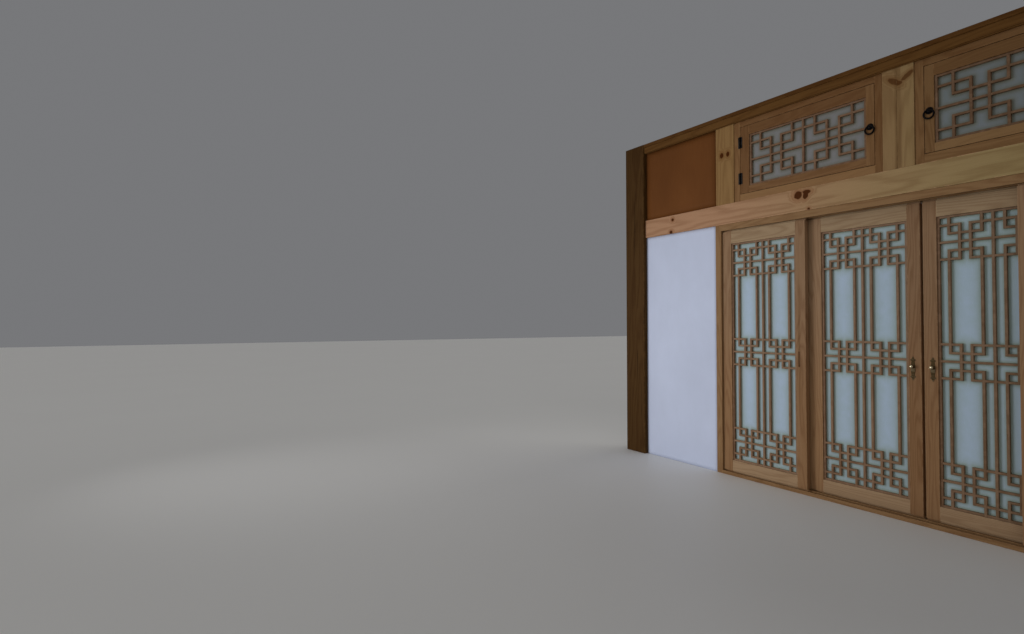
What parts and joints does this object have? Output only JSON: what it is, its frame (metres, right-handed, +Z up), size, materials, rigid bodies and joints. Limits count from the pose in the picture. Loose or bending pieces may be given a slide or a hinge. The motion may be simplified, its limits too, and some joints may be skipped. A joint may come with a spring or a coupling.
{
  "type": "hanok lattice sliding-door wall",
  "caption": "Wall bay of a hanok room: papered lattice doors that slide in a timber frame, lattice cupboard doors above, plaster and board panels between posts.",
  "frame": {"origin": "middle of the bay at floor level, half way between the two posts and half way through their thickness", "axes": "+X along the wall to the right as seen from the room, +Y into the wall away from the room, +Z up"},
  "size_m": [3.944, 0.2, 2.4],
  "materials": {
    "post_wood": "dark stained timber, satin",
    "moulding_wood": "brown stained timber, satin",
    "pine": "clear lacquered knotty pine",
    "frame_wood": "lacquered red-brown wood",
    "sash_wood": "lacquered red-brown wood",
    "lattice_wood": "lacquered red-brown wood",
    "brown_board": "smooth stained board",
    "plaster": "smooth matt white plaster",
    "door_paper": "matt mulberry paper",
    "bronze": "aged bronze",
    "blackened_iron": "blackened iron, satin"
  },
  "bodies": {
    "wall": {"left_post": "post_wood", "right_post": "post_wood", "ceiling_moulding": "moulding_wood", "header_beam": "pine", "mullion_left_board": "pine", "mullion_right_board": "pine", "upper_left_stile": "pine", "upper_right_stile": "pine", "door_head": "frame_wood", "door_sill": "frame_wood", "left_jamb": "frame_wood", "right_jamb": "frame_wood", "left_plaster": "plaster", "right_plaster": "plaster", "upper_left_panel": "brown_board", "upper_right_panel": "brown_board", "upper_left_door_casing": "frame_wood", "upper_left_door_sash": "sash_wood", "upper_left_door_lattice": "lattice_wood", "upper_left_door_paper": "door_paper", "upper_left_door_lower_hinge": "blackened_iron", "upper_left_door_upper_hinge": "blackened_iron", "upper_left_door_ring_pull": "blackened_iron", "upper_right_door_casing": "frame_wood", "upper_right_door_sash": "sash_wood", "upper_right_door_lattice": "lattice_wood", "upper_right_door_paper": "door_paper", "upper_right_door_lower_hinge": "blackened_iron", "upper_right_door_upper_hinge": "blackened_iron", "upper_right_door_ring_pull": "blackened_iron", "leaf_1_left_stile": "sash_wood", "leaf_1_right_stile": "sash_wood", "leaf_1_top_rail": "sash_wood", "leaf_1_bottom_rail": "sash_wood", "leaf_1_lattice": "lattice_wood", "leaf_1_paper": "door_paper", "leaf_4_left_stile": "sash_wood", "leaf_4_right_stile": "sash_wood", "leaf_4_top_rail": "sash_wood", "leaf_4_bottom_rail": "sash_wood", "leaf_4_lattice": "lattice_wood", "leaf_4_paper": "door_paper"},
    "leaf_2": {"leaf_2_left_stile": "sash_wood", "leaf_2_right_stile": "sash_wood", "leaf_2_top_rail": "sash_wood", "leaf_2_bottom_rail": "sash_wood", "leaf_2_lattice": "lattice_wood", "leaf_2_paper": "door_paper", "leaf_2_pull": "bronze"},
    "leaf_3": {"leaf_3_left_stile": "sash_wood", "leaf_3_right_stile": "sash_wood", "leaf_3_top_rail": "sash_wood", "leaf_3_bottom_rail": "sash_wood", "leaf_3_lattice": "lattice_wood", "leaf_3_paper": "door_paper", "leaf_3_pull": "bronze"}
  },
  "joints": [
    {"name": "leaf_2_slide", "type": "slide", "parent": "wall", "child": "leaf_2", "axis": [-1, 0, 0], "range_m": [0, 0.52]},
    {"name": "leaf_3_slide", "type": "slide", "parent": "wall", "child": "leaf_3", "axis": [1, 0, 0], "range_m": [0, 0.33]}
  ]
}
